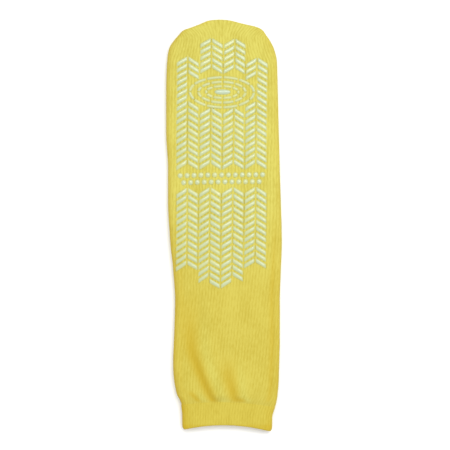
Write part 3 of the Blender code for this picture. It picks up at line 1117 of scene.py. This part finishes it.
@dataclass
class ToeSeam:
    """The linked seam across the instep side of the toe: two twisted strands."""

    form: SockForm
    along: float = 0.971
    sink: float = 0.0001
    strand_radius: float = 0.00028
    twist_radius: float = 0.00026
    twists: int = 34
    stations: int = 340
    sides: int = 8
    end_rings: float = 3.0
    reach: float = 0.93

    def path(self, count: int) -> tuple[np.ndarray, np.ndarray]:
        """The seam's line under the toe.

        Args:
            count: Number of stations.

        Returns:
            Points of the line and the direction out of the cloth at each.
        """
        place = self.form.cuff_height + self.along * self.form.tube_length
        values = self.form.read(np.array([place]))
        run = values["right"] - values["left"] - 2 * values["radius"]
        share = np.linspace(0.5 - self.reach / 2, 0.5 + self.reach / 2, count)
        x, rise, out_x, out_z = self.form.walk_face(values["left"], run, values["radius"], share)
        line = np.stack([x, np.full(count, place), values["middle"] - rise], axis=1)
        out = np.stack([out_x, np.zeros(count), -out_z], axis=1)
        return line + self.form.shift, out / np.linalg.norm(out, axis=1)[:, None]

    def strand(self, phase: float) -> np.ndarray:
        """One strand: a round tube that winds about the seam's line.

        Args:
            phase: Where round the line it starts.

        Returns:
            Points of its rings, which draw in to a point at both ends.
        """
        line, out = self.path(self.stations)
        line = line + out * (self.strand_radius + self.twist_radius - self.sink)
        along = np.gradient(line, axis=0)
        along /= np.linalg.norm(along, axis=1)[:, None]
        side = np.cross(along, out)
        turn = np.linspace(0.0, TAU * self.twists, self.stations) + phase
        core = line + self.twist_radius * (
            np.cos(turn)[:, None] * side + np.sin(turn)[:, None] * out
        )
        around = np.linspace(0.0, TAU, self.sides, endpoint=False)[None, :, None]
        from_end = np.minimum(np.arange(self.stations), np.arange(self.stations)[::-1])
        taper = np.sqrt(np.clip(from_end / self.end_rings, 0.0, 1.0))
        spoke = np.cos(around) * side[:, None] + np.sin(around) * out[:, None]
        return core[:, None] + self.strand_radius * taper[:, None, None] * spoke

    def make(self, finish: bpy.types.Material) -> None:
        """Build the seam from its two strands.

        Args:
            finish: The thread material.
        """
        blocks = []
        faces = []
        caps = []
        size = self.stations * self.sides
        grid = np.arange(size).reshape(self.stations, self.sides)
        for number, phase in enumerate((0.0, math.pi)):
            blocks.append(self.strand(phase).reshape(-1, 3))
            index = grid + number * size
            faces.append(quads(index[:-1], index[1:])[:, ::-1])
            caps.append(index[0][None, :])
            caps.append(index[-1][None, ::-1])
        points = np.concatenate(blocks)
        piece = build_mesh("toe_seam_threads", points, [np.concatenate(faces), *caps])
        settle(piece, finish, ["toe_seam"])


@dataclass(frozen=True)
class Zone:
    """A field of printed bars: its lowest and highest rows are shares of the tube."""

    name: str
    low: float
    high: float
    rows: int


@dataclass(frozen=True)
class RowSpan:
    """Rows first to last of a zone print the columns named, counted from 1."""

    zone: Zone
    first: int
    last: int
    columns: tuple[int, ...]
    side: str = ""


@dataclass(frozen=True)
class Pull:
    """How the cloth has pulled the print at a share of the tube, under five columns."""

    along: float
    far_left: float
    left: float
    middle: float
    right: float
    far_right: float


@dataclass(frozen=True)
class PadRing:
    """A ring of a pad's outline: how far it is drawn in, its share of height, its cover."""

    inset: float
    level: float
    cover: float


@dataclass(frozen=True)
class Oval:
    """A printed oval: its reach in columns and in rows, its dashes and how milky they are."""

    name: str
    columns: float
    rows: float
    dashes: int
    milky: float


@dataclass
class TreadPrint:
    """The raised print: slanting bars, dashed ovals and plain dots."""

    form: SockForm
    finish: bpy.types.Material
    margin: float = 0.0045
    shift: float = -0.0026
    columns: int = 8
    column_gap: float = 0.0018
    bar_breadth: float = 0.0032
    bar_slope: float = 0.6
    ring_breadth: float = 0.0017
    dash_gap: float = 0.0016
    dot_radius: float = 0.0019
    dot_count: int = 13
    height: float = 0.0007
    thicknesses: tuple[float, float] = (0.85, 1.1)
    milky_drop: float = 0.4
    least_share: float = 0.1
    outline_points: int = 16
    bar_squareness: float = 7.0
    dash_squareness: float = 5.0
    heart_squareness: float = 2.3
    dot_squareness: float = 2.0
    oval_along: float = 0.812
    pull_columns: tuple[float, ...] = (1.0, 3.0, 5.0, 6.5, 8.0)
    rings: tuple[PadRing, ...] = (
        PadRing(-0.0007, -0.15, 0.08),
        PadRing(-0.0003, 0.10, 0.24),
        PadRing(0.0001, 0.65, 0.50),
        PadRing(0.0007, 1.00, 0.71),
    )
    seed: int = 5

    def __post_init__(self) -> None:
        """Set out the zones, the rows and the draw of how thickly each pad is printed."""
        forefoot = Zone("forefoot", 0.622, 0.943, 20)
        heel = Zone("heel", 0.311, 0.550, 15)
        whole = tuple(range(1, self.columns + 1))
        self.forefoot = forefoot
        self.spans = (
            RowSpan(forefoot, 1, 9, whole),
            RowSpan(forefoot, 10, 10, (1, 2), "_left"),
            RowSpan(forefoot, 10, 10, (7, 8), "_right"),
            RowSpan(forefoot, 11, 14, (1,), "_left"),
            RowSpan(forefoot, 11, 14, (8,), "_right"),
            RowSpan(forefoot, 15, 15, (1, 2), "_left"),
            RowSpan(forefoot, 15, 15, (7, 8), "_right"),
            RowSpan(forefoot, 16, 17, whole),
            RowSpan(forefoot, 18, 20, (3, 4, 5, 6)),
            RowSpan(heel, 1, 1, (4, 5)),
            RowSpan(heel, 2, 3, (3, 4, 5, 6)),
            RowSpan(heel, 4, 15, whole),
        )
        self.ovals = (
            Oval("outer", 2.81, 2.39, 12, 0.90),
            Oval("middle", 2.08, 1.64, 12, 0.78),
            Oval("inner", 1.43, 0.94, 10, 0.60),
        )
        self.heart = Oval("heart", 0.67, 0.36, 1, 1.35)
        self.dot_rows = {"grip_dots_upper": 0.595, "grip_dots_lower": 0.577}
        self.draw = np.random.default_rng(self.seed)

    def sways(self) -> tuple[Pull, ...]:
        """Sideways pulls to the right, as shares of the column pitch."""
        return (
            Pull(0.33, 0.04, -0.04, -0.07, -0.07, -0.08),
            Pull(0.42, 0.06, 0.00, -0.02, -0.04, -0.05),
            Pull(0.51, 0.08, 0.02, 0.01, 0.00, -0.02),
            Pull(0.64, 0.06, 0.08, 0.07, 0.03, -0.01),
            Pull(0.73, 0.06, 0.09, 0.13, 0.05, 0.02),
            Pull(0.81, 0.10, 0.14, 0.13, 0.03, 0.04),
            Pull(0.92, 0.11, 0.15, 0.21, 0.17, 0.13),
        )

    def drags(self) -> tuple[Pull, ...]:
        """Pulls towards the mouth, as shares of the forefoot's row pitch."""
        return (
            Pull(0.33, 0.36, 0.12, -0.05, -0.09, -0.09),
            Pull(0.42, 0.29, 0.08, -0.02, -0.05, -0.06),
            Pull(0.51, 0.27, 0.12, 0.04, 0.04, 0.04),
            Pull(0.64, 0.07, 0.00, 0.02, -0.02, -0.06),
            Pull(0.73, 0.04, 0.04, 0.04, 0.02, 0.02),
            Pull(0.81, -0.04, 0.02, 0.04, 0.06, 0.10),
            Pull(0.87, 0.08, 0.19, 0.24, 0.27, 0.27),
            Pull(0.92, 0.05, 0.23, 0.31, 0.31, 0.27),
        )

    def pulled(self, x: np.ndarray, y: np.ndarray) -> tuple[np.ndarray, np.ndarray]:
        """Shift points of the print as the cloth has pulled them.

        Args:
            x: Distances across the sock.
            y: Distances above the mouth.

        Returns:
            The shifted distances.
        """
        columns = (x - self.shift) / self.column_pitch + (self.columns + 1) / 2
        shares = (y - self.form.cuff_height) / self.form.tube_length
        shifts = []
        sizes = (self.column_pitch, -self.row_pitch(self.forefoot))
        for pulls, size in zip((self.sways(), self.drags()), sizes):
            rows = np.array([list(vars(pull).values()) for pull in pulls])
            total = np.zeros(x.shape)
            for number, values in enumerate(rows[:, 1:].T):
                peak = np.arange(len(self.pull_columns)) == number
                near = np.interp(columns, self.pull_columns, peak.astype(float))
                total += near * np.interp(shares, rows[:, 0], values)
            shifts.append(total * size)
        return x + shifts[0], y + shifts[1]

    @property
    def column_pitch(self) -> float:
        """Distance between the print's columns."""
        width = self.form.foot_width - self.form.flat_thickness - 2 * self.margin
        return (width + self.column_gap) / self.columns

    def column_centre(self, column: float) -> float:
        """Middle of a print column, counted from 1 at the left."""
        return self.shift + (column - (self.columns + 1) / 2) * self.column_pitch

    def row_pitch(self, zone: Zone) -> float:
        """Distance between a zone's rows."""
        return (zone.high - zone.low) * self.form.tube_length / (zone.rows - 1)

    def place(self, share: float) -> float:
        """Distance above the mouth of a share of the tube."""
        return self.form.cuff_height + share * self.form.tube_length

    @property
    def oval_centre(self) -> tuple[float, float]:
        """Distances of the ovals' middle across the sock and above the mouth."""
        return self.column_centre((self.columns + 1) / 2), self.place(self.oval_along)

    def outline(self, squareness: float) -> tuple[np.ndarray, np.ndarray]:
        """A pad's outline between -1 and 1 both ways: a rounded square or, at 2, a circle.

        Args:
            squareness: The power of the superellipse.

        Returns:
            The two coordinates of each outline point.
        """
        angle = np.arange(self.outline_points) * TAU / self.outline_points
        a = np.sign(np.cos(angle)) * np.abs(np.cos(angle)) ** (2 / squareness)
        b = np.sign(np.sin(angle)) * np.abs(np.sin(angle)) ** (2 / squareness)
        return a / np.abs(a).max(), b / np.abs(b).max()

    def milky(self, count: int) -> np.ndarray:
        """How milky each of some pads is printed: mostly 1, and less for a few."""
        return 1 - self.milky_drop * self.draw.uniform(0, 1, count) ** 2

    def pads(
        self,
        node: str,
        milky: np.ndarray,
        half: tuple[float, float],
        squareness: float,
        lay: Callable[[np.ndarray, np.ndarray], tuple[np.ndarray, np.ndarray]],
    ) -> None:
        """Print soft pads that follow the cloth.

        Each pad is its outline's rings, drawn in as they rise, with a lid and a floor. The
        lowest ring is sunk a little into the knit.

        Args:
            node: Their node, which the piece is named for.
            milky: How milky each pad is printed.
            half: Half the length and half the breadth of a pad.
            squareness: The power of the outline's superellipse.
            lay: A function from shares along and across each pad, arrays of pads by
                points, to distances across and along the sock.
        """
        a, b = self.outline(squareness)
        count = len(milky)
        thickness = self.height * self.draw.uniform(*self.thicknesses, count)[:, None]
        points = []
        for ring in self.rings:
            along = np.maximum(1 - ring.inset / half[0], self.least_share) * a
            across = np.maximum(1 - ring.inset / half[1], self.least_share) * b
            x, y = lay(np.tile(along, (count, 1)), np.tile(across, (count, 1)))
            x, y = self.pulled(x, y)
            points.append(np.stack([x, y, self.form.face(x, y) + ring.level * thickness], axis=2))
        grid = np.stack(points, axis=1) + self.form.shift
        covers = np.array([ring.cover for ring in self.rings])[None, :, None]
        cover = np.broadcast_to(covers * milky[:, None, None], grid.shape[:3])
        index = np.arange(cover.size).reshape(cover.shape)
        sides = quads(index[:, :-1], index[:, 1:])
        faces = [sides, index[:, 0, ::-1], index[:, -1]]
        piece = build_mesh(f"{node}_print", grid, faces, share=cover)
        settle(piece, self.finish, [node])

    def bar_row(self, node: str, y: float, columns: tuple[int, ...]) -> None:
        """Print one row of slanting bars, peaked over each pair of columns.

        Args:
            node: The row's node.
            y: The row's middle above the mouth.
            columns: The columns that it prints.
        """
        half = (self.column_pitch - self.column_gap) / 2
        middles = np.array([self.column_centre(column) for column in columns])[:, None]
        slopes = np.array([self.bar_slope if column % 2 else -self.bar_slope for column in columns])

        def lay(a: np.ndarray, b: np.ndarray) -> tuple[np.ndarray, np.ndarray]:
            """Slant each pad about its column's middle."""
            across = a * half
            return middles + across, y + slopes[:, None] * across + b * self.bar_breadth / 2

        sizes = (half, self.bar_breadth / 2)
        milky = self.milky(len(columns))
        self.pads(node, milky, sizes, self.bar_squareness, lay)

    def oval_ring(self, oval: Oval) -> None:
        """Print a dashed oval.

        Args:
            oval: Its reach and number of dashes.
        """
        reach_x = oval.columns * self.column_pitch
        reach_y = oval.rows * self.row_pitch(self.forefoot)
        step = TAU / oval.dashes
        gap = self.dash_gap / ((reach_x + reach_y) / 2)
        middles = ((np.arange(oval.dashes) + 0.5) * step + math.pi / 2)[:, None]
        centre_x, centre_y = self.oval_centre

        def lay(a: np.ndarray, b: np.ndarray) -> tuple[np.ndarray, np.ndarray]:
            """Bend each pad along the oval, with its breadth square to it."""
            angle = middles + a * (step - gap) / 2
            out_x = reach_y * np.cos(angle)
            out_y = reach_x * np.sin(angle)
            size = np.hypot(out_x, out_y) / (self.ring_breadth / 2)
            x = centre_x + reach_x * np.cos(angle) + b * out_x / size
            y = centre_y + reach_y * np.sin(angle) + b * out_y / size
            return x, y

        sizes = (step * (reach_x + reach_y) / 4, self.ring_breadth / 2)
        milky = oval.milky * self.milky(oval.dashes)
        self.pads(f"tread_oval_{oval.name}", milky, sizes, self.dash_squareness, lay)

    def oval_heart(self) -> None:
        """Print the solid oval inside the rings."""
        sizes = (
            self.heart.columns * self.column_pitch,
            self.heart.rows * self.row_pitch(self.forefoot),
        )
        centre_x, centre_y = self.oval_centre

        def lay(a: np.ndarray, b: np.ndarray) -> tuple[np.ndarray, np.ndarray]:
            """Stretch the pad to the oval's two reaches."""
            return centre_x + a * sizes[0], centre_y + b * sizes[1]

        milky = np.array([self.heart.milky])
        self.pads("tread_oval_heart", milky, sizes, self.heart_squareness, lay)

    def dot_row(self, node: str, share: float, count: int) -> None:
        """Print a plain row of round dots.

        Args:
            node: The row's node.
            share: Its place along the tube.
            count: Number of dots.
        """
        pitch = (self.column_pitch * self.columns - self.column_gap) / self.dot_count
        centre = self.column_centre((self.columns + 1) / 2)
        middles = (centre + (np.arange(count) - (count - 1) / 2) * pitch)[:, None]
        y = self.place(share)

        def lay(a: np.ndarray, b: np.ndarray) -> tuple[np.ndarray, np.ndarray]:
            """Set each round pad on its middle."""
            return middles + a * self.dot_radius, y + b * self.dot_radius

        sizes = (self.dot_radius, self.dot_radius)
        self.pads(node, self.milky(count), sizes, self.dot_squareness, lay)

    def make(self) -> None:
        """Print every row, oval and dot in place of its node."""
        for span in self.spans:
            for row in range(span.first, span.last + 1):
                node = f"tread_{span.zone.name}_row_{row:02d}{span.side}"
                y = self.place(span.zone.low) + (row - 1) * self.row_pitch(span.zone)
                self.bar_row(node, y, span.columns)
        for oval in self.ovals:
            self.oval_ring(oval)
        self.oval_heart()
        for offset, (node, share) in enumerate(self.dot_rows.items()):
            self.dot_row(node, share, self.dot_count - offset)


@dataclass(frozen=True)
class Lamp:
    """A soft square lamp: where it hangs, its side, and its power in watts."""

    name: str
    place: tuple[float, float, float]
    size: float
    power: float


@dataclass
class Studio:
    """Pale floor, soft light and the camera straight above the sock."""

    frame_width: float = 0.4054
    centre_x: float = 0.0009
    centre_y: float = 0.0004
    camera_height: float = 1.5
    subject_height: float = 0.008
    sensor: float = 36.0
    floor_size: float = 6.0
    floor_cuts: int = 8
    world_strength: float = 0.98
    lamps: tuple[Lamp, ...] = (
        Lamp("key lamp", (0.40, 0.42, 1.3), 0.9, 10.5),
        Lamp("glint lamp", (-0.22, 0.50, 1.2), 0.22, 1.7),
    )

    def camera(self) -> None:
        """Place the camera so that its width at the tread face is the photograph's."""
        data = bpy.data.cameras.new("camera")
        data.sensor_width = self.sensor
        data.lens = self.sensor * (self.camera_height - self.subject_height) / self.frame_width
        data.clip_start = 0.01
        camera = bpy.data.objects.new("camera", data)
        camera.location = (self.centre_x, self.centre_y, self.camera_height)
        bpy.context.scene.collection.objects.link(camera)
        bpy.context.scene.camera = camera

    def floor(self) -> None:
        """Lay the floor as a wide flat grid."""
        line = np.linspace(-self.floor_size / 2, self.floor_size / 2, self.floor_cuts + 1)
        x, y = np.meshgrid(line, line)
        points = np.stack([x, y, np.zeros_like(x)], axis=2)
        count = self.floor_cuts + 1
        index = np.arange(count * count).reshape(count, count)
        corners = [index[:-1, :-1], index[:-1, 1:], index[1:, 1:], index[1:, :-1]]
        floor = build_mesh("floor", points, [np.stack(corners, axis=2).reshape(-1, 4)])
        low = (0.88, 0.88, 0.88, 1.0)
        high = (0.90, 0.90, 0.90, 1.0)
        finish = GrainFinish("pale floor", low, high, Grain(40.0, 2.0), {"Roughness": 0.95})
        floor.data.materials.append(finish.make())

    def hang(self, lamp: Lamp) -> None:
        """Hang a lamp so that it faces the middle of the sock.

        Args:
            lamp: The lamp.
        """
        data = bpy.data.lights.new(lamp.name, "AREA")
        data.size = lamp.size
        data.energy = lamp.power
        hung = bpy.data.objects.new(lamp.name, data)
        hung.location = lamp.place
        aim = -hung.location.normalized()
        hung.rotation_euler = aim.to_track_quat("-Z", "Y").to_euler()
        bpy.context.scene.collection.objects.link(hung)

    def make(self) -> None:
        """Set the world, the lamps, the floor and the camera."""
        world = bpy.data.worlds.new("studio")
        world.use_nodes = True
        sky = world.node_tree.nodes["Background"]
        sky.inputs["Color"].default_value = (1.0, 1.0, 1.0, 1.0)
        sky.inputs["Strength"].default_value = self.world_strength
        bpy.context.scene.world = world
        bpy.context.scene.view_settings.view_transform = "Standard"
        for lamp in self.lamps:
            self.hang(lamp)
        self.floor()
        self.camera()


def leg_creases() -> tuple[Crease, ...]:
    """The pleats gathered above the cuff."""
    return (
        Crease(
            ((-0.0085, 0.0212), (-0.0163, 0.0381), (-0.0225, 0.0534), (-0.0275, 0.0690),
             (-0.0293, 0.0930), (-0.0306, 0.1350)),
            height=0.0027, steep=0.0066, gentle=0.018, fade_from=0.045, spread=1.2, shade_depth=0.66,
        ),
        Crease(
            ((0.0122, 0.0212), (0.0095, 0.0273), (0.0070, 0.0399), (0.0052, 0.0520),
             (0.0048, 0.0690)),
            height=0.0021, steep=0.0070, gentle=0.014, fade_from=0.030, spread=0.9, shade_depth=0.58,
        ),
        Crease(
            ((0.0180, 0.0210), (0.0150, 0.0262)),
            height=0.0010, steep=0.0036, gentle=0.006, fade_from=0.0212, shade_depth=0.8,
        ),
        Crease(
            ((-0.0222, 0.0215), (-0.0325, 0.0335)),
            height=0.0008, steep=0.0030, gentle=0.008, fade_from=0.027, shade_depth=0.5,
        ),
    )


def make_finishes() -> dict[str, bpy.types.Material]:
    """Make the sock's finishes.

    Returns:
        A material for each of the record's slots.
    """
    # Colour of painted shade in creases, troughs, on folds and along the mouth; the groove colours
    # are darker for painted shade between the wales and for random tone
    painted_shade = (0.49, 0.325, 0.006, 1.0)
    yarn = (0.54, 0.49, 0.098, 1.0)
    groove = (0.44, 0.375, 0.055, 1.0)
    welt_yarn = (0.55, 0.482, 0.082, 1.0)
    welt_groove = (0.45, 0.37, 0.046, 1.0)
    thin = (0.52, 0.505, 0.14, 1.0)
    thick = (0.355, 0.44, 0.30, 1.0)
    shaded = (0.42, 0.34, 0.04, 1.0)
    light = (0.60, 0.52, 0.10, 1.0)
    twist = Grain(1500.0, 2.0)
    matt = {"Roughness": 0.8, "Specular IOR Level": 0.2, "Sheen Weight": 0.1}
    return {
        "knit": KnitFinish("yellow knit", yarn, groove, painted_shade).make(),
        "welt": KnitFinish("yellow welt", welt_yarn, welt_groove, painted_shade).make(),
        "grip_print": PrintFinish("pale grip print", thin, thick).make(),
        "seam": GrainFinish("seam thread", shaded, light, twist, matt, 0.00015).make(),
    }


def main() -> None:
    """Load the frame and build the sock piece by piece."""
    logging.basicConfig(level=logging.INFO, format="%(name)s %(message)s")
    for item in list(bpy.data.objects):
        bpy.data.objects.remove(item)
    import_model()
    form = SockForm(creases=leg_creases())
    finishes = make_finishes()
    KnitBody(form).make(finishes["knit"])
    TurnedCuff(form).make(finishes["welt"])
    ToeSeam(form).make(finishes["seam"])
    TreadPrint(form, finishes["grip_print"]).make()
    Studio().make()


if __name__ == "__main__":
    main()
